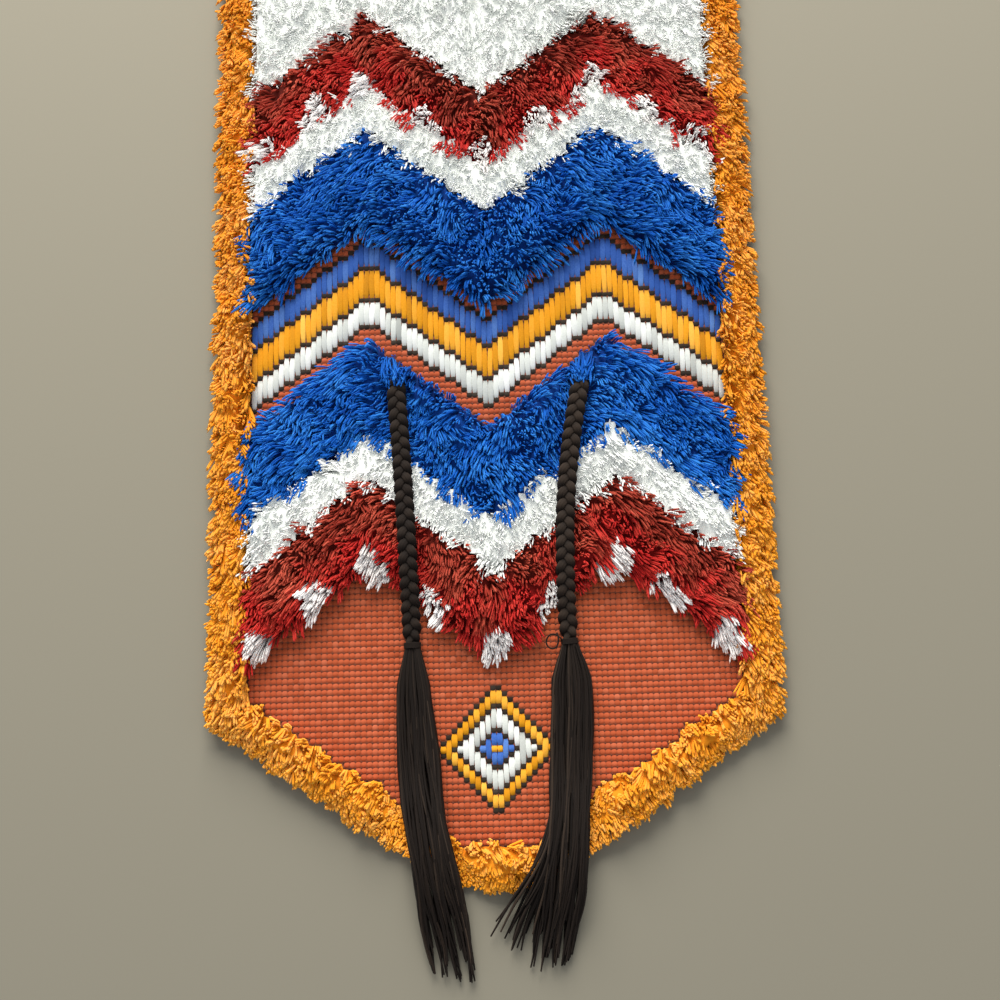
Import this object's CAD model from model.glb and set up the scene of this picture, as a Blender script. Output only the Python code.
# %% [markdown]
# # A latch-hooked wall hanging, laid face up
#
# The real hanging is a long piece of rug canvas. Someone stitched part of it flat with wool, knotted
# cut wool into the rest so that it stands up as shag, and sewed two plaits with tassels on top. This
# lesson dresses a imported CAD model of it. The CAD solids say where each part is and how high it
# stands, and every cell below makes the real material that fills one kind of solid.

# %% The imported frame
import math

import bpy
import numpy as np
from mathutils import Matrix, Vector, noise
from mathutils.bvhtree import BVHTree
from mathutils.geometry import interpolate_bezier


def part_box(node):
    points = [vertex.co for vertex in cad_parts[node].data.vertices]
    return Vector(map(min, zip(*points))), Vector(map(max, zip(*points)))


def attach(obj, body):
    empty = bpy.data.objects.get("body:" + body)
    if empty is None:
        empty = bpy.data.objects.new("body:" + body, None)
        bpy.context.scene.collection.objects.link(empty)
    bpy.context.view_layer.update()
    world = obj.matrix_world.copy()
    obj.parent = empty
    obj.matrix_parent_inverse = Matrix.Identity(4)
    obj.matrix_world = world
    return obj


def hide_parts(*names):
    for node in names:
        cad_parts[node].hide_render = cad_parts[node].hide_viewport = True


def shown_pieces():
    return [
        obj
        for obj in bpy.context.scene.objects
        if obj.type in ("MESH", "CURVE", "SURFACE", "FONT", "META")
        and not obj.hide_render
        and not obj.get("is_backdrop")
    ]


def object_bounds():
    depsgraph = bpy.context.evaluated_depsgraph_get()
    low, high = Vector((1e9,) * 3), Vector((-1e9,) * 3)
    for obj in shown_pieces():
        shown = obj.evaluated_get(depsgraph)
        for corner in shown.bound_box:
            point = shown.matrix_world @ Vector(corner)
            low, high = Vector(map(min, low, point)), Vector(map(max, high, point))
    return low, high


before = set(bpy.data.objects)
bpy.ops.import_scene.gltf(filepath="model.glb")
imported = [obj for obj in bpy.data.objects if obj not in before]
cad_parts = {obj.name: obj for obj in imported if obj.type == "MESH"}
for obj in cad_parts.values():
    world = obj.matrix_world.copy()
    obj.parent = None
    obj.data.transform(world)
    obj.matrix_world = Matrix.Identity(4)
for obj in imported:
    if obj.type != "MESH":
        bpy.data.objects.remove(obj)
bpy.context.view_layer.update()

MM = 0.001

# %% [markdown]
# ## The canvas sets every measure
#
# Rug canvas is sold by its holes. This one is taken to have five to the inch across, a common gauge,
# and a little fewer along. One stitch or one knot fills one hole, so shapes on the hanging are given
# in columns and rows. Places are given on the panel, with x from its centre line and y up from its
# lowest edge.

# %% Columns, rows and a way onto the panel
COLUMN = 5.08 * MM
ROW = 5.36 * MM
COLUMNS, ROWS = 100, 190
HALF_WIDTH = COLUMNS * COLUMN / 2
POINT_HEIGHT = 27 * ROW
HALF_TIP = 7.5 * COLUMN

cloth_low, cloth_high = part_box("ground_cloth")
PANEL_ORIGIN = Vector(((cloth_low.x + cloth_high.x) / 2, cloth_low.y, 0))
PANEL_LENGTH = cloth_high.y - cloth_low.y


def on_panel(x, y, z):
    """A place on the panel as a point in the model's frame."""
    return PANEL_ORIGIN + Vector((x, y, z))


# %% [markdown]
# ## The camera
#
# The hanging lies on a floor and is seen from a standing height, nearly straight down. The camera is
# a metre from the middle of the view, leans back a little towards the pointed end, and is turned a
# degree or so, as a hand-held one is.

# %% Place the camera
def put_in_scene(name, data):
    """A new object that holds this data."""
    obj = bpy.data.objects.new(name, data)
    bpy.context.scene.collection.objects.link(obj)
    return obj


AIM = on_panel(8.4 * MM, 340.6 * MM, 3 * MM)
CAMERA_DISTANCE = 1.0
TILT = math.radians(9.7)
TURN = math.radians(1.53)

heading = Vector((math.sin(TURN), math.cos(TURN), 0))
towards_camera = Vector((0, 0, math.cos(TILT))) - heading * math.sin(TILT)
camera_right = heading.cross(towards_camera).normalized()
camera_up = towards_camera.cross(camera_right)

camera_data = bpy.data.cameras.new("camera")
camera_data.sensor_width = 36
camera_data.lens = 38.77
camera = put_in_scene("camera", camera_data)
camera.matrix_world = Matrix.Translation(AIM + towards_camera * CAMERA_DISTANCE) @ Matrix(
    (camera_right, camera_up, towards_camera)
).transposed().to_4x4()
bpy.context.scene.camera = camera
print("camera at, m:", [round(value, 3) for value in camera.matrix_world.translation])

# %% [markdown]
# ## Helpers for materials
#
# Colours are written as the hex values of a paint chart. A screen's hex values aren't proportional to
# light, and the renderer wants values that are, so one function turns them over. A second function
# adds a node with its settings and its links, which keeps each material to a few readable lines.


# %% Colours and nodes
def linear(hex_colour):
    """A paint chart's hex colour as linear light, with full opacity."""
    channels = [int(hex_colour[i : i + 2], 16) / 255 for i in (0, 2, 4)]
    return (*(c / 12.92 if c <= 0.04045 else ((c + 0.055) / 1.055) ** 2.4 for c in channels), 1.0)


def add_node(tree, kind, inputs=None, stops=(), **settings):
    """Adds a node with its settings and links, and returns it.

    An input's value may be another node's output, which is then linked to it. stops are the
    (place, hex colour) pairs of a node that holds a ramp of colours.
    """
    node = tree.nodes.new(kind)
    for setting, value in settings.items():
        setattr(node, setting, value)
    for socket, value in (inputs or {}).items():
        if isinstance(value, bpy.types.NodeSocket):
            tree.links.new(value, node.inputs[socket])
        else:
            node.inputs[socket].default_value = value
    for k, (place, hex_colour) in enumerate(stops):
        elements = node.color_ramp.elements
        element = elements[k] if k in (0, len(stops) - 1) else elements.new(place)
        element.position, element.color = place, linear(hex_colour)
    return node


def new_material(name, **sockets):
    """A material with its shader's own sockets set, and the node tree and shader to add to."""
    material = bpy.data.materials.new(name)
    material.use_nodes = True
    shader = material.node_tree.nodes["Principled BSDF"]
    for socket, value in sockets.items():
        shader.inputs[socket.replace("_", " ").title()].default_value = value
    return material, material.node_tree, shader


# %% [markdown]
# ## Wool yarn
#
# Rug wool is spun from crimped fibres, so it has no clear highlight: it is rough, and its loose fibre
# ends catch light at the edges as a soft sheen. Dyed wool varies from strand to strand, and light
# hardly reaches the roots of a pile. Each strand made below carries that in a colour attribute
# called `yarn`: its shade, its place from root to tip, and which dye it has.


# %% The one recipe for every wool
FIBRE_CONTRAST = 0.30


def wool(name, shades, root_light, others=(), sheen=0.10, fibre_mm=0.5, tip_light=0.0):
    """Dyed wool. shades runs from a strand's darkest hex colour to its brightest.

    others are the shades of the further dyes mixed into it: the first shows where the attribute's
    blue is a half, and the second where it is one. tip_light brightens the free ends.
    """
    material, tree, shader = new_material(
        name, roughness=0.88, diffuse_roughness=1.0, sheen_weight=sheen, sheen_roughness=0.45
    )
    shader.inputs["Specular IOR Level"].default_value = 0.2
    shader.inputs["Sheen Tint"].default_value = linear(shades[-1][1])
    yarn = add_node(tree, "ShaderNodeAttribute", attribute_name="yarn")
    parts = add_node(tree, "ShaderNodeSeparateColor", {"Color": yarn.outputs["Color"]})
    tone, reach, dye = (parts.outputs[channel] for channel in ("Red", "Green", "Blue"))
    place = add_node(tree, "ShaderNodeTexCoord").outputs["Object"]
    fibre = add_node(
        tree, "ShaderNodeTexNoise", {"Vector": place, "Scale": 1 / (fibre_mm * MM), "Detail": 2.0}
    ).outputs["Fac"]
    shade = add_node(
        tree, "ShaderNodeMath", {0: fibre, 1: FIBRE_CONTRAST, 2: tone}, operation="MULTIPLY_ADD"
    )
    # The noise averages a half, so half its contrast is taken off again.
    level = -FIBRE_CONTRAST / 2
    ends = add_node(
        tree,
        "ShaderNodeMapRange",
        {"Value": reach, "From Min": 0.6, "From Max": 1.0, "To Min": level, "To Max": tip_light + level},
    )
    shade = add_node(tree, "ShaderNodeMath", {0: shade.outputs[0], 1: ends.outputs[0]}, operation="ADD")
    dyed = [
        add_node(tree, "ShaderNodeValToRGB", {"Fac": shade.outputs[0]}, one_dye).outputs["Color"]
        for one_dye in (shades, *others)
    ]
    colour = dyed[0]
    for k, other in enumerate(dyed[1:]):
        share = add_node(
            tree, "ShaderNodeMapRange", {"Value": dye, "From Min": 0.5 * k, "From Max": 0.5 * (k + 1)}
        )
        blend = add_node(
            tree, "ShaderNodeMix", {"Factor": share.outputs[0], 6: colour, 7: other}, data_type="RGBA"
        )
        colour = blend.outputs[2]
    depth = add_node(
        tree,
        "ShaderNodeMapRange",
        {"Value": reach, "From Min": 0.0, "From Max": 0.8, "To Min": root_light, "To Max": 1.0},
    )
    lit = add_node(tree, "ShaderNodeVectorMath", {0: colour, "Scale": depth.outputs[0]}, operation="SCALE")
    tree.links.new(lit.outputs[0], shader.inputs["Base Color"])
    bump = add_node(tree, "ShaderNodeBump", {"Height": fibre, "Strength": 0.35, "Distance": 0.3 * MM})
    tree.links.new(bump.outputs[0], shader.inputs["Normal"])
    return material


# %% [markdown]
# ## Many strands in one mesh
#
# A hanging like this has tens of thousands of cut ends. One object for each would bring any program
# to a stop, so all the strands of one colour are swept into a single mesh with numpy. A strand is a
# line of stations; round each station goes a small section, and faces join one station to the next.


# %% Sweep strands into a mesh
def with_tones(name, mesh, tones):
    """An object that holds this mesh, with each vertex's tones in the yarn attribute."""
    attribute = mesh.color_attributes.new("yarn", "FLOAT_COLOR", "POINT")
    opaque = np.concatenate([tones, np.ones((len(tones), 1))], axis=1)
    attribute.data.foreach_set("color", opaque.astype(np.float32).ravel())
    return put_in_scene(name, mesh)


def sweep(name, centres, across, above, section, yarn, closed=True, pointed=False):
    """One mesh of many strands.

    centres, across and above are strands x stations x 3, where across and above are half the
    section's width and height. section lists (share across, share above) round a strand, and yarn
    is strands x stations x 3 for the attribute. A pointed strand closes to one point at its end.
    """
    strands, stations, _ = centres.shape
    sides = len(section)
    round_it = np.array(section, float)
    points = centres[:, :, None] + across[:, :, None] * round_it[:, :1] + above[:, :, None] * round_it[:, 1:]
    tone = np.repeat(yarn[:, :, None, :], sides, axis=2)
    rings = stations - 1 if pointed else stations
    points, tone = points[:, :rings].reshape(strands, -1, 3), tone[:, :rings].reshape(strands, -1, 3)
    if pointed:
        points = np.concatenate([points, centres[:, -1:, :]], axis=1)
        tone = np.concatenate([tone, yarn[:, -1:, :]], axis=1)
    each = points.shape[1]

    walls = sides if closed else sides - 1
    quads = [
        (r * sides + s, r * sides + (s + 1) % sides, (r + 1) * sides + (s + 1) % sides, (r + 1) * sides + s)
        for r in range(rings - 1)
        for s in range(walls)
    ]
    last = (rings - 1) * sides
    tips = [(last + s, last + (s + 1) % sides, each - 1) for s in range(walls)] if pointed else []
    first_vertex = np.arange(strands)[:, None, None] * each
    loops = [(first_vertex + np.array(quads)[None]).reshape(-1)]
    totals = [np.full(strands * len(quads), 4)]
    if tips:
        loops.append((first_vertex + np.array(tips)[None]).reshape(-1))
        totals.append(np.full(strands * len(tips), 3))
    loops, totals = np.concatenate(loops), np.concatenate(totals)

    mesh = bpy.data.meshes.new(name)
    mesh.vertices.add(strands * each)
    mesh.vertices.foreach_set("co", points.astype(np.float32).ravel())
    mesh.loops.add(len(loops))
    mesh.loops.foreach_set("vertex_index", loops.astype(np.int32))
    mesh.polygons.add(len(totals))
    mesh.polygons.foreach_set("loop_start", np.concatenate([[0], np.cumsum(totals)[:-1]]).astype(np.int32))
    mesh.polygons.foreach_set("use_smooth", np.ones(len(totals), bool))
    mesh.update(calc_edges=True)
    print(f"{name}: {strands} strands, {strands * (2 * len(quads) + len(tips))} triangles")
    return with_tones(name, mesh, tone.reshape(-1, 3))


def put_on(obj, material, slot, *nodes):
    """Gives a piece its material and record slot, and lets it stand for CAD nodes."""
    obj.data.materials.append(material)
    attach(obj, "root")
    if nodes:
        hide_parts(*nodes)
    return obj


def ellipse(sides, ridges=0, ridge_depth=0.0):
    """A round section, with ridges for the yarns laid side by side in it."""
    section = []
    for k in range(sides):
        angle = 2 * math.pi * k / sides
        size = 1 - ridge_depth * (0.5 - 0.5 * math.cos(ridges * angle))
        section.append((size * math.cos(angle), size * math.sin(angle)))
    return section


def unit(vectors):
    return vectors / np.maximum(np.linalg.norm(vectors, axis=-1, keepdims=True), 1e-12)


# %% [markdown]
# ## The two plaits
#
# Each plait is three bunches of dark wool, plaited flat and sewn down at the head, so it is a limp
# cord with a knot at its foot. In a flat plait each bunch swings from side to side along a sine
# wave, a third of a turn behind the next, and goes over and under once for each swing. Writing it
# that way gives true crossings, with each lobe on top of the one before it.

# %% The plaits' routes, from head to tie
def routes(places_of, heights):
    """Each side's places on the panel, with the heights that both sides share."""
    return {side: [(*place, z) for place, z in zip(places, heights)] for side, places in places_of.items()}


PLAIT_ROUTES = routes(
    {
        "left": [
            (-0.086, 0.47), (-0.0857, 0.46), (-0.0852, 0.448), (-0.0845, 0.434), (-0.083, 0.415),
            (-0.0812, 0.39), (-0.0795, 0.36), (-0.078, 0.33), (-0.0768, 0.305), (-0.0762, 0.288),
            (-0.0757, 0.272), (-0.0753, 0.256), (-0.075, 0.241), (-0.0746, 0.227), (-0.0742, 0.214),
            (-0.074, 0.204),
        ],
        "right": [
            (0.089, 0.468), (0.0876, 0.458), (0.0856, 0.4465), (0.083, 0.433), (0.0792, 0.415),
            (0.0748, 0.39), (0.0706, 0.36), (0.0676, 0.33), (0.0662, 0.305), (0.0657, 0.287),
            (0.0655, 0.27), (0.0657, 0.254), (0.0661, 0.239), (0.0667, 0.226), (0.0674, 0.214),
            (0.068, 0.204),
        ],
    },
    [
        0.0112, 0.016, 0.0212, 0.0246, 0.0262, 0.0266, 0.0266, 0.0265, 0.0262, 0.025,
        0.0222, 0.018, 0.0138, 0.0108, 0.0096, 0.0094,
    ],
)
PLAIT_WIDTH = 19 * MM
PLAIT_THICKNESS = 12 * MM


# %% A smooth line and the directions along it
def at_places(wanted, reached, values):
    """Rows of three values, known at the places reached, at the wanted places."""
    return np.stack([np.interp(wanted, reached, values[:, k]) for k in range(3)], axis=1)


def smooth_line(places, step):
    """Points a step apart, in the model's frame, along a smooth curve through places on the panel."""
    points = [on_panel(*place) for place in places]
    padded = [2 * points[0] - points[1], *points, 2 * points[-1] - points[-2]]
    fine = []
    for before, start, end, after in zip(padded, padded[1:], padded[2:], padded[3:]):
        handles = start + (end - before) / 6, end - (after - start) / 6
        fine += interpolate_bezier(start, *handles, end, 24)[:-1]
    fine = np.array(fine + [points[-1]])
    reached = np.concatenate([[0], np.cumsum(np.linalg.norm(np.diff(fine, axis=0), axis=1))])
    wanted = np.linspace(0, reached[-1], max(2, round(reached[-1] / step)) + 1)
    return at_places(wanted, reached, fine), wanted


def directions(line):
    """The way along a line, the level way across it and the way up from it, at each point."""
    along = unit(np.gradient(line, axis=-2))
    across = unit(np.cross([0.0, 0.0, 1.0], along))
    return along, across, np.cross(along, across)


# %% Plait them
LOBE_PITCH = 11 * MM
STRAND_PERIOD = 3 * LOBE_PITCH
SWING = 4.9 * MM
OVER_AND_UNDER = 2.8 * MM
STRAND_HALF_WIDTH = 4.1 * MM
STRAND_HALF_THICKNESS = 2.8 * MM
NECK_LENGTH = 9 * MM
NECK_SCALE = 0.74
HEAD_LENGTH = 12 * MM
HEAD_SCALE = 0.6
NARROWING = 8 * MM
DARK_BROWN = [(0.0, "0A0706"), (0.5, "1F1814"), (1.0, "56473B")]

brown_wool = wool("brown_plaited_wool", DARK_BROWN, 0.4, sheen=0.06)
chance = np.random.default_rng(5)
plait_lines = {}
for side, route in PLAIT_ROUTES.items():
    line, reached = smooth_line(route, 1.5 * MM)
    length = reached[-1]
    plait_lines[side] = line
    _, across, above = directions(line)
    fit = np.interp(
        reached,
        [0, HEAD_LENGTH, length - NECK_LENGTH - NARROWING, length - NECK_LENGTH, length],
        [HEAD_SCALE, 1, 1, NECK_SCALE, NECK_SCALE],
    )
    strands, tones = [], []
    for k in range(3):
        turn = 2 * math.pi * (reached / STRAND_PERIOD + k / 3)
        strands.append(
            line
            + across * (SWING * fit * np.sin(turn))[:, None]
            + above * (OVER_AND_UNDER * fit * np.sin(2 * turn))[:, None]
        )
        wave = 0.40 + 0.20 * np.sin(2 * turn) + 0.05 * chance.standard_normal()
        tones.append(np.stack([wave, 0.55 + 0.45 * np.sin(2 * turn), np.zeros_like(wave)], axis=1))
    strands = np.array(strands)
    run = unit(np.gradient(strands, axis=1))
    flat = unit(np.cross(above[None], run))
    braid = sweep(
        f"braid_{side}",
        strands,
        flat * (STRAND_HALF_WIDTH * fit)[None, :, None],
        np.cross(run, flat) * (STRAND_HALF_THICKNESS * fit)[None, :, None],
        ellipse(24, ridges=8, ridge_depth=0.17),
        np.array(tones),
    )
    put_on(braid, brown_wool, "brown_wool", f"plait_{side}")
    print(f"plait {side}: {length / MM:.0f} mm long")

# %% [markdown]
# ## Ties
#
# A dark thread is wound round the foot of each plait to stop it coming undone. The windings lie side
# by side, so the thread is a helix round the plait's flat section. The right one's end was left
# as a small open loop.

# %% Wind the ties
TIE_LENGTH = 5.0 * MM
TIE_TURNS = 6
POINTS_A_TURN = 28
THREAD_RADIUS = 0.48 * MM
LOOP_RADIUS = 0.75 * MM
TIE_HALF_WIDTH = PLAIT_WIDTH / 2 * NECK_SCALE + THREAD_RADIUS
TIE_HALF_THICKNESS = PLAIT_THICKNESS / 2 * NECK_SCALE + THREAD_RADIUS
tie_wool = wool("waxed_tie_thread", [(0.0, "0C0806"), (0.6, "241B16"), (1.0, "493B31")], 1.0, sheen=0.1)
tie_centres = {}


def thread(name, line, radius):
    """One thread swept along a line of points."""
    run = unit(np.gradient(line, axis=0))
    across = unit(np.cross(run, [0.13, 0.21, 0.97]))
    tone = np.tile([0.5, 1.0, 0.0], (1, len(line), 1))
    above = np.cross(run, across)
    return sweep(name, line[None], across[None] * radius, above[None] * radius, ellipse(6), tone)


for side, line in plait_lines.items():
    along = Vector(unit(line[-1] - line[-5]))
    across = Vector((0, 0, 1)).cross(along).normalized()
    above = along.cross(across)
    centre = Vector(line[-1]) - along * (NECK_LENGTH / 2)
    tie_centres[side] = centre
    winding = []
    for k in range(TIE_TURNS * POINTS_A_TURN + 1):
        turn = 2 * math.pi * k / POINTS_A_TURN
        place = TIE_LENGTH * (k / (TIE_TURNS * POINTS_A_TURN) - 0.5)
        winding.append(
            centre
            + along * place
            + across * (TIE_HALF_WIDTH * math.cos(turn))
            + above * (TIE_HALF_THICKNESS * math.sin(turn))
        )
    tie = thread(f"wound_tie_{side}", np.array(winding), THREAD_RADIUS)
    put_on(tie, tie_wool, "tie_thread", f"tie_{side}")

# The open loop's places from the right tie's centre, in mm.
LOOP_PLACES = [
    (-6.2, 1.0, 2.6), (-9.5, 4.0, 4.4), (-13.0, 6.3, 5.0), (-17.5, 6.2, 4.6),
    (-20.6, 2.6, 3.8), (-20.8, -2.4, 3.4), (-17.4, -6.0, 3.4), (-13.2, -5.6, 3.8),
    (-11.0, -2.2, 4.2), (-10.4, 2.6, 5.2), (-11.6, 8.0, 5.0),
]
loop = [tie_centres["right"] - PANEL_ORIGIN + Vector(place) * MM for place in LOOP_PLACES]
loop_line, _ = smooth_line(loop, 0.8 * MM)
put_on(thread("tie_loop_right", loop_line, LOOP_RADIUS), tie_wool, "tie_thread")

# %% [markdown]
# ## The shaded parts of a canvas, hole by hole
#
# What fills a hole depends on what stands there. A ray sent up from under the canvas meets the flat
# underside of a pile's solid where knots are planted, and nothing, or an overhang, where the canvas
# is stitched flat. A ray sent down tells how high the pile reaches, pressed under the plaits too.

# %% Ask the solids what fills each hole
PILE_NODES = sorted(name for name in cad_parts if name.startswith(("border", "pile")))
PILE_BASE = 2.7 * MM
PLANTED_BELOW = PILE_BASE + 0.3 * MM

solid_points, solid_faces = [], []
for node in PILE_NODES:
    first = len(solid_points)
    solid_points += [vertex.co.copy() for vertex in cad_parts[node].data.vertices]
    solid_faces += [[first + k for k in face.vertices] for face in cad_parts[node].data.polygons]
pile_solids = BVHTree.FromPolygons(solid_points, solid_faces)
cloth_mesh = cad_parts["ground_cloth"].data
cloth_solid = BVHTree.FromPolygons(
    [vertex.co for vertex in cloth_mesh.vertices], [face.vertices[:] for face in cloth_mesh.polygons]
)


def crown(x, y):
    """How high the pile's solid stands over a place on the panel, or None beside it."""
    hit = pile_solids.ray_cast(on_panel(x, y, 0.2), Vector((0, 0, -1)))[0]
    return None if hit is None else hit.z


def hole_centre(column, row):
    return (column + 0.5) * COLUMN - HALF_WIDTH, (row + 0.5) * ROW


PLANTED, FLAT, OFF_CANVAS = 2, 1, 0
MARGIN = 3
fills = np.full((COLUMNS + 2 * MARGIN, ROWS + 2 * MARGIN), OFF_CANVAS)
for column in range(COLUMNS):
    for row in range(ROWS):
        x, y = hole_centre(column, row)
        if cloth_solid.ray_cast(on_panel(x, y, -0.1), Vector((0, 0, 1)))[0] is None:
            continue
        hits = [
            pile_solids.ray_cast(on_panel(x + step, y + step, -0.01), Vector((0, 0, 1)))[0]
            for step in (-0.4 * MM, 0.4 * MM)
        ]
        planted = any(hit is not None and hit.z < PLANTED_BELOW for hit in hits)
        fills[column + MARGIN, row + MARGIN] = PLANTED if planted else FLAT
print("knots:", int((fills == PLANTED).sum()), " flat holes:", int((fills == FLAT).sum()))

# %% [markdown]
# ## Which wool goes where
#
# A border of gold runs round the edge. Across the middle run zigzag bands of red, white and blue.
# The rows where two colours meet aren't ruled lines: the maker let them wander by a knot or so.

# %% Colour of each knot
BORDER_COLUMNS = 6
SEAM = 0.3 * MM
ZIGZAG_PERIOD = HALF_WIDTH - BORDER_COLUMNS * COLUMN - SEAM
ZIGZAG_RISE = 85 * MM
# Height of each band's lowest point on the centre line, and its wool, from the bottom up.
TOP_BAND_START = 0.742
BANDS = [(0.200, "red"), (0.275, "white"), (0.322, "blue"), (0.575, "blue")]
BANDS += [(0.620, "white"), (0.667, "red"), (TOP_BAND_START, "white")]
LOCKS_BELOW_BANDS = 12 * MM
# How far a seam wanders, over what length and at which level of the noise: slowly, and quickly.
WANDERS = ((7 * MM, 26 * MM, 7), (3 * MM, 9 * MM, 9))


def zigzag(x):
    """Height of the zigzag over its lowest points, which lie on the centre line and at the sides."""
    along = (abs(x) % ZIGZAG_PERIOD) / (ZIGZAG_PERIOD / 2)
    return ZIGZAG_RISE * min(along, 2 - along)


def edge_distance(x, y):
    """How far a place is inside the panel's nearest edge."""
    slant = Vector((HALF_WIDTH - HALF_TIP, POINT_HEIGHT)).normalized()
    out = Vector((slant.y, -slant.x))
    to_slant = (Vector((HALF_WIDTH, POINT_HEIGHT)) - Vector((abs(x), y))).dot(out)
    return min(HALF_WIDTH - abs(x), PANEL_LENGTH - y, y, to_slant)


def wool_at(x, y):
    """The colour of the knot at a place, and how far up its band it is, from 0 to 1."""
    in_border = edge_distance(x, y) < BORDER_COLUMNS * COLUMN
    if in_border or y < zigzag(x) + BANDS[0][0] - LOCKS_BELOW_BANDS:
        return "gold", 0.5
    wander = sum(far * noise.noise(Vector((x, y, level)) / size) for far, size, level in WANDERS)
    height = y - zigzag(x) + wander
    starts = [start for start, _ in BANDS] + [PANEL_LENGTH]
    band = max((k for k in range(len(BANDS)) if height >= starts[k]), default=0)
    share = (height - starts[band]) / (starts[band + 1] - starts[band])
    return BANDS[band][1], min(1.0, max(0.0, share))


knots = [
    (*hole_centre(column, row), column, row)
    for column in range(COLUMNS)
    for row in range(ROWS)
    if fills[column + MARGIN, row + MARGIN] == PLANTED
]
knot_wool = [wool_at(x, y) for x, y, _, _ in knots]
print({colour: sum(c == colour for c, _ in knot_wool) for colour in ("gold", "red", "white", "blue")})

# %% [markdown]
# ## How a pile lies
#
# Cut wool never stands straight. Neighbours lean the same way, so the pile lies in slow swirls a few
# centimetres across, and at a free edge it leans outwards and hangs over. The swirls follow the
# contour lines of a smooth noise: a flow along contours never parts or heaps up, so the free ends
# stay evenly spread and no bare place opens between them.


# %% The lean of each knot
HILL_STEP = 0.05
LAY_TURNS_OVER = 100 * MM


def hill(spot):
    """The smooth noise whose contours the pile follows."""
    return noise.noise(spot) + 0.4 * noise.noise(spot * 2.3)


def lean_at(x, y, lay, size, turn):
    """The pile's lean as a share of its height: its lay, and swirls of a size added to that."""
    spot = Vector((x, y, 0)) / size + Vector((0, 0, 3))
    steps = Vector((HILL_STEP, 0, 0)), Vector((0, HILL_STEP, 0))
    slope_x, slope_y = (hill(spot + step) - hill(spot - step) for step in steps)
    outwards = max(-1.0, min(1.0, x / LAY_TURNS_OVER))
    return Vector((lay[0] * outwards, lay[1])) + Vector((slope_y, -slope_x)) * (turn / (2 * HILL_STEP))


FLAT_PULL, OFF_CANVAS_PULL, FULL_PULL = 1.0, 0.4, 3.2


def towards_empty(column, row):
    """The way to the empty holes near a knot, longer where more of them are close.

    Over the canvas's own edge there is nothing to lie on, so the pull is weaker there.
    """
    pull = Vector((0, 0))
    for i in range(-2, 3):
        for j in range(-2, 3):
            here = fills[column + MARGIN + i, row + MARGIN + j]
            if (i or j) and here != PLANTED:
                weight = FLAT_PULL if here == FLAT else OFF_CANVAS_PULL
                pull += Vector((i, j)) / (i * i + j * j) * weight
    return pull / FULL_PULL


# For each wool: strands a knot, half a strand's width in mm and the share of that it is thick where
# it has frayed flat, the lay of the pile as a share of its height, the size of its swirls in mm and
# how strong they are, how far it leans at a free edge, the scatter of its ends in mm, how much of its
# height is too dense to see into, and the places of a strand's stations.
LONG_BEND, SHORT_BEND = (0.0, 0.55, 0.92, 1.0), (0.0, 0.88, 1.0)
STYLE = ("strands", "half", "flat", "lay", "swirl", "turn", "edge", "scatter", "dense", "stations")
SHAG = {
    "gold": (6.0, 1.52, 0.46, (0.22, -0.72), 18, 0.30, 0.40, 2.4, 0.66, SHORT_BEND),
    "red": (4.4, 1.02, 0.65, (0.34, -0.50), 36, 0.22, 0.28, 1.8, 0.58, LONG_BEND),
    "blue": (4.2, 1.00, 0.65, (0.40, -0.48), 36, 0.24, 0.28, 1.8, 0.60, LONG_BEND),
    "white": (5.2, 0.95, 0.40, (0.20, -0.32), 26, 0.20, 0.22, 2.2, 0.80, SHORT_BEND),
}
SHAG = {colour: dict(zip(STYLE, values)) for colour, values in SHAG.items()}
FLECK_SPACING = 52 * MM
FLECK_HALF_LENGTH = 11.5 * MM
# Pile is brushed over a plait's head from the knots above it: how far to each side and how far up
# they are, how high that pile stands in mm, and the strands each knot has more.
HEAD_HALF_WIDTH, HEAD_NEAREST, HEAD_FURTHEST = 16 * MM, 8 * MM, 34 * MM
HEAD_COVER = (20, 27)
HEAD_STRANDS = 5
RIM_STANDS_OVER = 40 * MM


def fleck(x, share):
    """Whether a place is on a white dab. They sit a set distance apart, low on the red bands."""
    along = (x / FLECK_SPACING + 0.5) % 1 - 0.5
    return math.hypot(along * FLECK_SPACING / FLECK_HALF_LENGTH, (share - 0.09) / 0.25) < 1


def rust(x, y, share):
    """How far the red of a place is the rust-red dye: patches, and more towards a band's top."""
    patch = noise.noise(Vector((x, y, 13)) / (24 * MM)) + 1.6 * (share - 0.42)
    return min(0.5, max(0.0, 0.10 + 0.8 * patch))


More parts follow.
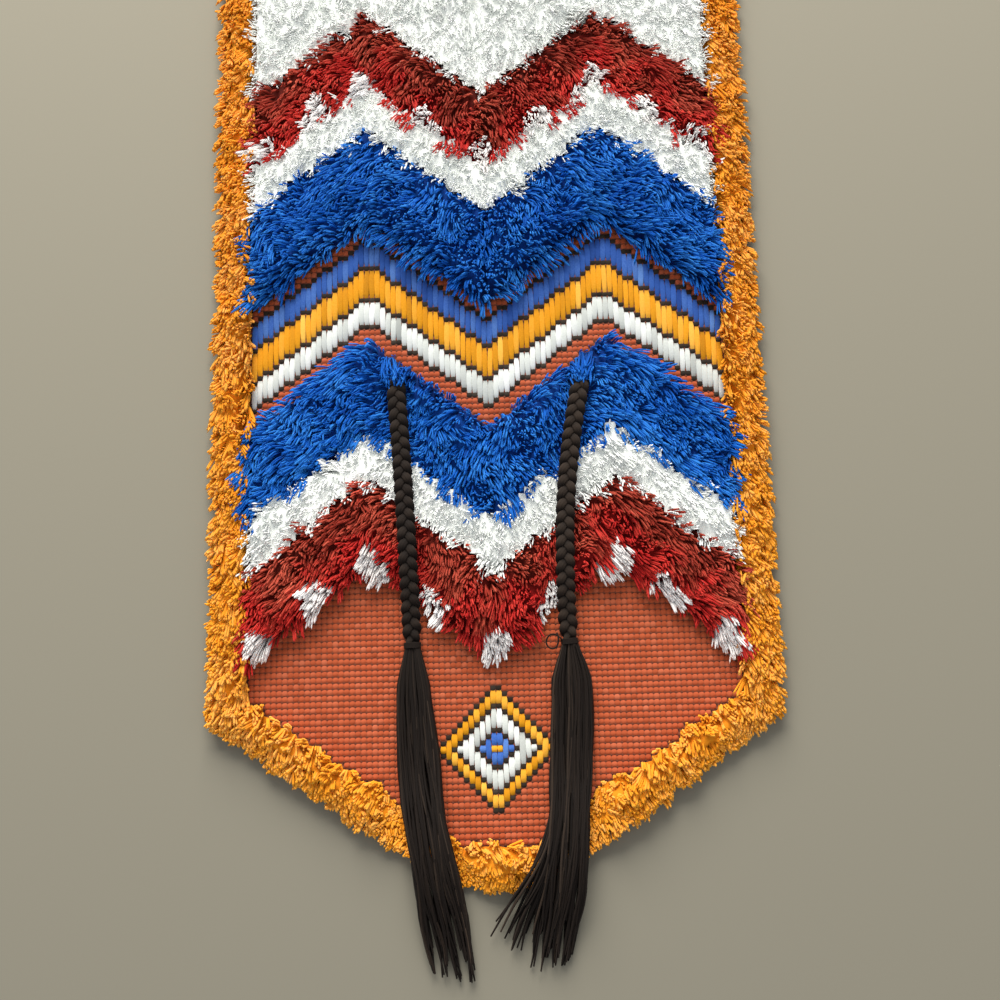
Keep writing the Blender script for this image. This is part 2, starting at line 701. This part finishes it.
def strand_table(colour):
    """Each strand of one wool: its root, bend, tip, half width, tones and where it comes into sight."""
    style = SHAG[colour]
    chance = np.random.default_rng(sum(map(ord, colour)))
    strands = []
    for (x, y, column, row), (wool_here, share) in zip(knots, knot_wool):
        if wool_here != colour:
            continue
        here = crown(x, y) or PILE_BASE + 16 * MM
        height = here - PILE_BASE
        outward = towards_empty(column, row)
        lean = lean_at(x, y, style["lay"], style["swirl"] * MM, style["turn"]) * height
        lean += outward * style["edge"] * height
        if lean.y < 0:
            # At the top edge, and at the upper rim of a band, the pile stands up.
            lean.y *= min(1.0, 0.25 + max(0.0, PANEL_LENGTH - y) / RIM_STANDS_OVER)
            lean.y *= 1.0 if colour == "gold" else min(1.0, 0.15 + (1 - share) / 0.22)
        over_head = None
        for route in PLAIT_ROUTES.values():
            to_head = Vector(route[2][:2]) - Vector((x, y))
            if abs(to_head.x) < HEAD_HALF_WIDTH and -HEAD_FURTHEST < to_head.y < -HEAD_NEAREST:
                over_head = Vector((0.4 * to_head.x, to_head.y))
        tone = 0.5 + 0.30 * noise.noise(Vector((x, y, 11)) / (30 * MM)) + chance.normal(0, 0.07)
        dye = 0.0
        if colour == "red":
            dye = 1.0 if fleck(x, share) else rust(x, y, share)
        plain = int(style["strands"]) + (chance.random() < style["strands"] % 1) + 3 * (dye == 1.0)
        count = plain if over_head is None else plain + HEAD_STRANDS
        scatter = style["scatter"] * MM * (0.5 if dye == 1.0 else 1.0)
        yarn_ends = chance.normal(0, scatter, (2, 2))
        end_tones = tone + chance.normal(0, 0.10, 2)
        for k in range(count):
            root = np.array([x, y]) + chance.uniform(-0.38, 0.38, 2) * COLUMN
            wide = style["half"] * MM * chance.uniform(0.75, 1.2)
            covers = k >= plain
            bent = lean
            if covers:
                bent = over_head + Vector((chance.uniform(-4, 4), chance.uniform(-2, 12))) * MM
            tip = root + np.array(bent) + yarn_ends[k % 2] + chance.normal(0, 0.8 * MM, 2)
            top = crown(tip[0], tip[1])
            if top is None and colour == "gold":
                tip = root + (tip - root) * 0.5
            if top is None:
                rise = height * chance.uniform(0.25, 0.75)
            else:
                rise = (top - PILE_BASE) * chance.uniform(0.84, 1.05)
            if covers:
                rise = chance.uniform(*HEAD_COVER) * MM
            bend = root + (tip - root) * 0.22
            strand = (
                (root[0], root[1], PILE_BASE),
                (bend[0], bend[1], PILE_BASE + max(rise, 0.7 * height) * 0.92),
                (tip[0], tip[1], PILE_BASE + rise),
                wide,
                (end_tones[k % 2] + chance.normal(0, 0.06), dye),
                0.10 if outward.length > 0.25 else 0.40,
            )
            strands.append(strand)
    return [np.array(values) for values in zip(*strands)]


# %% [markdown]
# ## Knot the shag
#
# Each knot leaves cut ends that fray into a few strands. A strand rises from its hole, bends over by
# its own lean and ends in a short point. Two or three stations and a tip show that bend from any side.

# %% Make the pile of each colour
TRIANGLE = [(math.cos(a), math.sin(a)) for a in (math.pi / 2, math.pi * 7 / 6, math.pi * 11 / 6)]


def shag(name, colour, material, nodes, lowest=-math.inf, highest=math.inf):
    """The strands of one wool as a piece: all of them, or those rooted between two heights."""
    table = strand_table(colour)
    chosen = (table[0][:, 1] >= lowest) & (table[0][:, 1] < highest)
    roots, bends, tips, halves, tones, starts = (values[chosen] for values in table)
    shape = np.array(SHAG[colour]["stations"])
    reach = starts[:, None] + (1 - starts[:, None]) * shape[None]
    t = reach[:, :, None]
    centres = roots[:, None] * (1 - t) ** 2 + bends[:, None] * 2 * t * (1 - t) + tips[:, None] * t**2
    centres = centres + np.array(PANEL_ORIGIN)
    run = unit(np.gradient(centres, axis=1))
    across = unit(np.cross(run, [0.05, 0.03, 1.0]))
    above = np.cross(across, run)
    taper = np.interp(shape, [0, 0.5, 0.92, 1], [0.85, 1.0, 0.85, 0.0])
    width = (halves[:, None] * taper[None])[:, :, None]
    yarn = np.empty(centres.shape)
    yarn[:, :, 0] = tones[:, :1]
    yarn[:, :, 1] = reach
    yarn[:, :, 2] = tones[:, 1:]
    thick = width * SHAG[colour]["flat"]
    piece = sweep(name, centres, across * width, above * thick, TRIANGLE, yarn, pointed=True)
    return put_on(piece, material, f"{colour}_wool", *nodes)


# %% [markdown]
# ## The dense part of the pile
#
# Lower down the yarns stand so close that no gap is left between them, and what shows between the
# free ends is more wool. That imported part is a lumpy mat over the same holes, one face to a hole. At
# the pile's free edges it runs down to the canvas and is drawn in under the free ends.


# %% A mat of packed yarn
# At the pile's edge: the mat's height as a share of its full one, and how far the edge is drawn in.
SKIRT_HEIGHT = 0.4
DRAWN_IN = 0.7
LUMPS, LUMP_SIZE = 0.15, 9 * MM


def packed_yarn(colour, material):
    """The mat under one wool's free ends."""
    name = f"packed_{colour}_yarn"
    dense = SHAG[colour]["dense"]
    corners, points, faces, tones = {}, [], [], []
    for (x, y, column, row), (wool_here, share) in zip(knots, knot_wool):
        if wool_here != colour:
            continue
        face = []
        for i, j in ((0, 0), (1, 0), (1, 1), (0, 1)):
            corner = (column + i, row + j)
            if corner not in corners:
                corners[corner] = len(points)
                a, b = corner[0] + MARGIN, corner[1] + MARGIN
                packed = (fills[a - 1 : a + 1, b - 1 : b + 1] == PLANTED).all()
                inner = (fills[a - 2 : a + 2, b - 2 : b + 2] == PLANTED).all()
                cx, cy = corner[0] * COLUMN - HALF_WIDTH, corner[1] * ROW
                top = crown(cx, cy) if packed else None
                lump = LUMPS * noise.noise(Vector((cx, cy, 17)) / LUMP_SIZE)
                rise = 0.0 if top is None else (top - PILE_BASE) * (dense + lump)
                rise *= 1.0 if inner else SKIRT_HEIGHT
                if not packed:
                    planted = np.argwhere(fills[a - 1 : a + 1, b - 1 : b + 1] == PLANTED) - 0.5
                    drawn_in = planted.mean(axis=0) * DRAWN_IN
                    cx, cy = cx + drawn_in[0] * COLUMN, cy + drawn_in[1] * ROW
                points.append(on_panel(cx, cy, PILE_BASE + rise))
                dye = rust(cx, cy, share) if colour == "red" else 0.0
                tone = (0.18 if inner else 0.05) + 0.2 * noise.noise(Vector((cx, cy, 19)) / (7 * MM))
                tones.append((tone, 0.45 if inner else 0.0, dye))
            face.append(corners[corner])
        faces.append(face)
    mesh = bpy.data.meshes.new(name)
    mesh.from_pydata(points, [], faces)
    mesh.shade_smooth()
    print(f"{name}: {len(faces)} holes filled")
    return put_on(with_tones(name, mesh, tones), material, f"{colour}_wool")


# %% Every wool's free ends and mat
def nodes_of(start):
    return [node for node in PILE_NODES if node.startswith(start)]


gold_wool = wool(
    "gold_rug_wool", [(0.0, "E28C10"), (0.45, "F6AA2A"), (1.0, "FEC060")], 0.95, tip_light=0.1
)
red_wool = wool(
    "red_rug_wool",
    [(0.0, "84090A"), (0.40, "C02220"), (1.0, "E0463A")],
    0.50,
    others=(
        [(0.0, "5A160E"), (0.5, "A03424"), (1.0, "D8664E")],
        [(0.0, "E6E2DE"), (0.5, "FAF8F6"), (1.0, "FFFFFF")],
    ),
    tip_light=0.2,
)
white_wool = wool("white_rug_wool", [(0.0, "EEF2EE"), (0.5, "FCFEFC"), (1.0, "FFFFFF")], 0.97)
blue_wool = wool(
    "blue_rug_wool", [(0.0, "00348E"), (0.45, "0462C6"), (1.0, "3A96E8")], 0.60, sheen=0.06, tip_light=0.2
)

shag("gold_border_shag", "gold", gold_wool, nodes_of("border"))
shag("red_shag", "red", red_wool, nodes_of("pile_red"))
shag("white_shag_low", "white", white_wool, ["pile_white_low", "pile_white_high"], highest=TOP_BAND_START)
shag("white_shag_top", "white", white_wool, ["pile_white_top"], lowest=TOP_BAND_START)
shag("blue_shag", "blue", blue_wool, nodes_of("pile_blue"))
for colour, finish in (("gold", gold_wool), ("red", red_wool), ("white", white_wool), ("blue", blue_wool)):
    packed_yarn(colour, finish)

# %% [markdown]
# ## The canvas
#
# Rug canvas is a stiff open net of sized cotton. Hardly any of it shows once it is filled, only the
# dark of a hole here and there, but it is what the whole hanging is built on, so it is made as one
# thin sheet to its real cut, with a weave of one thread to a column and a row.

# %% Cut the canvas
CANVAS_BOTTOM = 0.1 * MM
CANVAS_THICKNESS = 1.1 * MM
CANVAS_COLUMNS, CANVAS_ROWS = 34, 64


def half_width_at(y):
    return HALF_WIDTH if y >= POINT_HEIGHT else HALF_TIP + (HALF_WIDTH - HALF_TIP) * y / POINT_HEIGHT


canvas_points, canvas_faces = [], []
for level in (0.0, CANVAS_THICKNESS):
    for j in range(CANVAS_ROWS + 1):
        y = PANEL_LENGTH * j / CANVAS_ROWS
        for i in range(CANVAS_COLUMNS + 1):
            x = half_width_at(y) * (2 * i / CANVAS_COLUMNS - 1)
            canvas_points.append(on_panel(x, y, CANVAS_BOTTOM + level))
in_row = CANVAS_COLUMNS + 1
layer = in_row * (CANVAS_ROWS + 1)
for j in range(CANVAS_ROWS):
    for a in range(j * in_row, j * in_row + CANVAS_COLUMNS):
        b = a + in_row
        canvas_faces += [(a, b, b + 1, a + 1), (layer + a, layer + a + 1, layer + b + 1, layer + b)]
rim = [j * in_row for j in range(CANVAS_ROWS)]
rim += [CANVAS_ROWS * in_row + i for i in range(CANVAS_COLUMNS)]
rim += [j * in_row + CANVAS_COLUMNS for j in range(CANVAS_ROWS, 0, -1)]
rim += range(CANVAS_COLUMNS, 0, -1)
canvas_faces += [(a, layer + a, layer + b, b) for a, b in zip(rim, rim[1:] + rim[:1])]
canvas_mesh = bpy.data.meshes.new("rug_canvas")
canvas_mesh.from_pydata(canvas_points, [], canvas_faces)
canvas = put_in_scene("rug_canvas", canvas_mesh)

canvas_material, tree, shader = new_material("sized_cotton_canvas", roughness=0.9)
place = add_node(tree, "ShaderNodeTexCoord").outputs["Object"]
weave = []
for direction, pitch in (("X", COLUMN), ("Y", ROW)):
    wave = add_node(
        tree,
        "ShaderNodeTexWave",
        {"Vector": place, "Scale": 2 * math.pi / (20 * pitch), "Distortion": 0.0},
        bands_direction=direction,
    )
    weave.append(wave.outputs["Fac"])
net = add_node(tree, "ShaderNodeMath", {0: weave[0], 1: weave[1]}, operation="MAXIMUM")
thread_colour = add_node(
    tree, "ShaderNodeValToRGB", {"Fac": net.outputs[0]}, [(0.2, "32160C"), (0.8, "82452E")]
)
tree.links.new(thread_colour.outputs["Color"], shader.inputs["Base Color"])
bump = add_node(tree, "ShaderNodeBump", {"Height": net.outputs[0], "Strength": 0.8, "Distance": 0.6 * MM})
tree.links.new(bump.outputs[0], shader.inputs["Normal"])
put_on(canvas, canvas_material, "ground_wool", "ground_cloth")

# %% [markdown]
# ## The flat stitching
#
# The flat parts are tapestry work in the same wool. A tent stitch covers one hole, rising a little to
# the right, and long satin stitches stand side by side over several rows to make the bold chevrons.
# A chart, counted in columns and rows as a maker would, says which stitch each hole gets.

# %% The chart
BAND_ROWS = ["orange"] * 3 + ["charcoal"] + ["white"] * 4 + ["charcoal"] + ["gold"] * 5 + ["charcoal"]
BAND_ROWS += ["blue"] * 4 + ["charcoal"] + ["orange"] * 3
BAND_START = 0.412
SATIN_WOOLS = ("white", "gold", "blue")
LOZENGE_ROW = 21
# The lozenge's rings of stitches, from the middle out.
LOZENGE_RINGS = ["gold"] + ["blue"] * 2 + ["charcoal"] + ["white"] * 3 + ["charcoal"]
LOZENGE_RINGS = dict(enumerate(LOZENGE_RINGS + ["gold"] * 2 + ["charcoal"]))


def chart(column, row):
    """The wool of a flat hole, and for a satin stitch the row it starts from and its rows."""
    x, y = hole_centre(column, row)
    step = round((BAND_START + zigzag(x)) / ROW)
    place = row - step
    if 0 <= place < len(BAND_ROWS):
        colour = BAND_ROWS[place]
        if colour not in SATIN_WOOLS:
            return colour, None
        first = BAND_ROWS.index(colour)
        return colour, (step + first, BAND_ROWS.count(colour))
    across = abs(column - (COLUMNS - 1) / 2) - 0.5
    reach = round(across + abs(row - LOZENGE_ROW))
    if reach in LOZENGE_RINGS:
        colour = LOZENGE_RINGS[reach]
        if colour not in SATIN_WOOLS:
            return colour, None
        low = high = row
        while LOZENGE_RINGS.get(round(across + abs(low - 1 - LOZENGE_ROW))) == colour:
            low -= 1
        while LOZENGE_RINGS.get(round(across + abs(high + 1 - LOZENGE_ROW))) == colour:
            high += 1
        return colour, (low, high - low + 1)
    return "orange", None


# %% The stitches
GROUND_LEVEL = 1.3 * MM


def stitches(name, places, half_width, height, rings, section, material, slot, waist):
    """Padded stitches that arch by height. waist is their ends' width as a share of their own.

    A place is the stitch's start and end, each as x and y, then how plump it is, and its tone.
    """
    ends = np.array(places, float)
    start, end = ends[:, 0:2], ends[:, 2:4]
    t = np.linspace(0, 1, rings)
    arch = np.sin(np.pi * np.clip(t * 0.94 + 0.03, 0, 1)) ** 0.55
    centres = np.zeros((len(ends), rings, 3))
    centres[:, :, :2] = start[:, None] + (end - start)[:, None] * t[None, :, None]
    centres[:, :, 2] = GROUND_LEVEL + height * (arch - 0.75)[None] * 0.5
    centres = centres + np.array(PANEL_ORIGIN)
    run = unit(np.concatenate([end - start, np.zeros((len(ends), 1))], axis=1))
    sideways = np.cross([0.0, 0.0, 1.0], run)
    swell = waist + (1 - waist) * np.sin(np.pi * t) ** 0.6
    across = -sideways[:, None] * (half_width * swell)[None, :, None] * ends[:, 4, None, None]
    above = np.tile([0.0, 0.0, 1.0], (len(ends), rings, 1)) * (height * arch)[None, :, None]
    yarn = np.zeros(centres.shape)
    yarn[:, :, 0] = ends[:, 5:6]
    yarn[:, :, 1] = (0.35 + 0.65 * arch)[None]
    piece = sweep(name, centres, across, above, section, yarn, closed=False)
    return put_on(piece, material, slot)


def arch_section(points, plies=0):
    """Half a round, with grooves between the plies of the yarn."""
    section = []
    for angle in np.linspace(0, math.pi, points):
        size = 1 - (0.16 * (0.5 + 0.5 * math.cos(2 * plies * angle)) if plies else 0)
        section.append((size * math.cos(angle), size * math.sin(angle)))
    return section


chance = np.random.default_rng(21)
tent, satin, satin_seen = {"orange": [], "charcoal": []}, {"white": [], "gold": [], "blue": []}, set()
for column in range(COLUMNS):
    for row in range(ROWS):
        if fills[column + MARGIN, row + MARGIN] != FLAT:
            continue
        x, y = hole_centre(column, row)
        colour, long_stitch = chart(column, row)
        plump, tone = chance.uniform(0.92, 1.08), 0.5 + 0.14 * chance.standard_normal()
        if long_stitch is None:
            rise = 0.10 * ROW
            tone = 0.5 + 0.6 * (tone - 0.5)
            reach = 0.52 * COLUMN
            tent[colour].append((x - reach, y - rise, x + reach, y + rise, plump, tone))
        elif (column, colour, long_stitch) not in satin_seen:
            satin_seen.add((column, colour, long_stitch))
            first, count = long_stitch
            low, high = first * ROW - 0.10 * ROW, (first + count) * ROW + 0.10 * ROW
            sway = 0.25 * MM * chance.standard_normal()
            satin[colour].append((x - sway, low, x + sway, high, plump, tone))

ORANGE = [(0.0, "9C4422"), (0.5, "C4603A"), (1.0, "D88260")]
CHARCOAL = [(0.0, "14100D"), (0.5, "342A22"), (1.0, "544A40")]
orange_wool = wool("orange_tapestry_wool", ORANGE, 0.42, fibre_mm=0.6)
charcoal_wool = wool("charcoal_tapestry_wool", CHARCOAL, 0.4, fibre_mm=0.6)
TENT_HEIGHT = 1.25 * MM
for name, colour, half_width, finish, slot, waist in (
    ("tent_stitches", "orange", 2.42 * MM, orange_wool, "ground_wool", 0.62),
    ("outline_stitches", "charcoal", 2.35 * MM, charcoal_wool, "brown_wool", 0.66),
):
    stitches(name, tent[colour], half_width, TENT_HEIGHT, 4, arch_section(4), finish, slot, waist)
SATIN_SHADES = {
    "white": [(0.0, "B4B8B4"), (0.5, "DDE1DD"), (1.0, "FFFFFF")],
    "gold": [(0.0, "B87808"), (0.5, "EBA81C"), (1.0, "FFD060")],
    "blue": [(0.0, "1E4494"), (0.5, "3E6CC0"), (1.0, "7CAAE6")],
}
for colour, places in satin.items():
    finish = wool(f"{colour}_tapestry_wool", SATIN_SHADES[colour], 0.35, fibre_mm=1.5)
    name, slot = f"satin_stitches_{colour}", f"{colour}_wool"
    stitches(name, places, 3.05 * MM, 2.3 * MM, 7, arch_section(9, plies=2), finish, slot, 0.72)

# %% [markdown]
# ## Tassels
#
# Below each tie the plait's wool runs loose. The strands part a little from each other, fall over the
# border's pile, reach the floor and end unevenly. Towards their ends they draw together a little
# into locks, as wool does when it has been handled.

# %% The tassels' routes, from the head to the ends
TASSEL_ROUTES = routes(
    {
        "left": [
            (-0.0739, 0.188), (-0.0733, 0.168), (-0.0724, 0.145), (-0.071, 0.12), (-0.0692, 0.1),
            (-0.0672, 0.082), (-0.065, 0.066), (-0.0625, 0.048), (-0.0596, 0.03), (-0.0565, 0.012),
            (-0.0536, -0.004), (-0.0508, -0.019), (-0.048, -0.034), (-0.0452, -0.05), (-0.0405, -0.082),
        ],
        "right": [
            (0.0684, 0.188), (0.0684, 0.168), (0.068, 0.145), (0.0668, 0.12), (0.0654, 0.1),
            (0.064, 0.082), (0.0626, 0.066), (0.0609, 0.048), (0.0588, 0.03), (0.0562, 0.012),
            (0.0536, -0.004), (0.0508, -0.019), (0.0478, -0.034), (0.0446, -0.05), (0.039, -0.078),
        ],
    },
    [
        0.0094, 0.0092, 0.0092, 0.0094, 0.0104, 0.0138, 0.0186, 0.0224, 0.0238, 0.0224,
        0.0184, 0.0132, 0.0086, 0.0062, 0.0062,
    ],
)

# %% Let the strands fall
TASSEL_STRANDS = 150
LOCKS = 6
STRAND_RADIUS = 1.45 * MM
STRAND_WAVE = 1.0 * MM
LOCK_SWING = 2.0 * MM
HALF_THICKNESS = 5.2 * MM
# The tassel's half width in mm at these shares of its length, from the neck to the ends.
TASSEL_SHARES = [0.0, 0.05, 0.12, 0.36, 1.0]
TASSEL_HALF_WIDTHS = {"left": [5.5, 8.5, 14.0, 17.5, 20.0], "right": [5.5, 10.0, 18.0, 17.5, 18.5]}
STRAY_REACH = {"left": 0.0, "right": 52 * MM}

for side, route in TASSEL_ROUTES.items():
    chance = np.random.default_rng(61 + len(side))
    neck = [Vector(PLAIT_ROUTES[side][-1]) + Vector((0, 7 * MM, 0)), Vector(PLAIT_ROUTES[side][-1])]
    line, reached = smooth_line(neck + route, 13 * MM)
    share = reached / reached[-1]
    _, across, above = directions(line)
    half_width = np.interp(share, TASSEL_SHARES, TASSEL_HALF_WIDTHS[side]) * MM
    thicknesses = [3.4 * MM, 4.6 * MM, HALF_THICKNESS, HALF_THICKNESS]
    half_thickness = np.interp(share, [0, 0.05, 0.12, 1], thicknesses)
    u = chance.uniform(-1, 1, TASSEL_STRANDS)
    v = chance.uniform(-1, 1, TASSEL_STRANDS) * np.sqrt(1 - 0.75 * u**2)
    lock = np.floor((u + 1) / 2 * LOCKS)
    lock_centre = (lock + 0.5) / LOCKS * 2 - 1 + 0.10 * np.sin(lock * 2.4)
    drawn = np.interp(share, [0, 0.45, 1], [0, 0.08, 0.36])
    shorter = 0.18 * chance.uniform(0, 1, TASSEL_STRANDS) ** 1.4
    end = 1.02 - shorter - 0.08 * np.abs(np.sin(lock * 1.7 + len(side)))
    stray = STRAY_REACH[side] * np.clip(-u - 0.55, 0, 1) / 0.45 * (chance.random(TASSEL_STRANDS) < 0.75)
    centres = np.empty((TASSEL_STRANDS, len(line), 3))
    for i in range(TASSEL_STRANDS):
        reach = share * end[i]
        base, sideways, upwards = (at_places(reach, share, values) for values in (line, across, above))
        lateral = u[i] * (1 - drawn) + lock_centre[i] * drawn
        wave = STRAND_WAVE * np.sin(reach * 19 + i * 1.9) * np.interp(share, [0, 0.15, 1], [0, 0.6, 1.4])
        lateral = lateral * np.interp(reach, share, half_width) + wave
        swing = np.interp(share, [0, 0.3, 1], [0, 0.2, 1])
        lateral += LOCK_SWING * np.sin(reach * 13 + lock[i] * 2.1) * swing
        lateral -= stray[i] * np.clip(2 * reach - 1, 0, 1) ** 1.5
        lift = v[i] * (1 - 0.35 * drawn) * np.interp(reach, share, half_thickness)
        centres[i] = base + sideways * lateral[:, None] + upwards * lift[:, None]
    centres[:, :, 2] = np.maximum(centres[:, :, 2], 1.0 * MM)
    run = unit(np.gradient(centres, axis=1))
    flat = unit(np.cross(above[None], run))
    size = STRAND_RADIUS * np.interp(share, [0, 0.05, 0.14, 0.9, 1], [0.5, 0.7, 1.0, 1.0, 0.55])
    yarn = np.zeros(centres.shape)
    yarn[:, :, 0] = 0.36 + 0.13 * chance.standard_normal((TASSEL_STRANDS, 1)) + 0.10 * v[:, None]
    yarn[:, :, 1] = 0.45 + 0.55 * (v[:, None] * 0.5 + 0.5)
    tassel = sweep(
        f"loose_tassel_{side}",
        centres,
        flat * size[None, :, None],
        np.cross(run, flat) * size[None, :, None],
        TRIANGLE,
        yarn,
    )
    put_on(tassel, brown_wool, "brown_wool", f"tassel_{side}")

# %% [markdown]
# ## Floor and light
#
# The floor is a plain pale sheet, so that it only receives the shadow. Soft daylight comes low over
# the top of the hanging from a wide source, and the pale surroundings fill the shadows a little.

# %% Light it
WINDOW_FROM_AIM = Vector((-0.4, 2.95, 1.75))

bpy.ops.mesh.primitive_plane_add(size=6, location=(0, 0, -0.2 * MM))
floor = bpy.context.object
floor.name = "studio_floor"
floor_material, _, floor_shader = new_material("pale_matt_paper", roughness=0.9)
floor_shader.inputs["Base Color"].default_value = linear("827E70")
floor.data.materials.append(floor_material)
floor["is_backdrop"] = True

window_data = bpy.data.lights.new("window", "AREA")
window_data.energy = 255
window_data.size = 2.2
window_data.color = linear("FFFAF2")[:3]
window = put_in_scene("window", window_data)
window.location = AIM + WINDOW_FROM_AIM
window.rotation_mode = "QUATERNION"
window.rotation_quaternion = (window.location - AIM).to_track_quat("Z", "Y")

# Plain colour management, so that a hex colour under full light comes out as itself.
bpy.context.scene.view_settings.view_transform = "Standard"

world = bpy.data.worlds.new("pale_room")
world.use_nodes = True
background = world.node_tree.nodes["Background"].inputs
background["Color"].default_value = linear("EEF0F3")
background["Strength"].default_value = 0.66
bpy.context.scene.world = world

# %% [markdown]
# ## Measure and hand over
#
# Last, the dressed model's box goes next to the CAD's, to show how little the wool changes its size.

# %% Sizes and the end
meshes = [obj.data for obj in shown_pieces() if obj.type == "MESH"]
triangles = sum(len(face.vertices) - 2 for mesh in meshes for face in mesh.polygons)
print("triangles in all:", triangles)
low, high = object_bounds()
print("dressed box, mm:", [round((b - a) / MM, 1) for a, b in zip(low, high)])
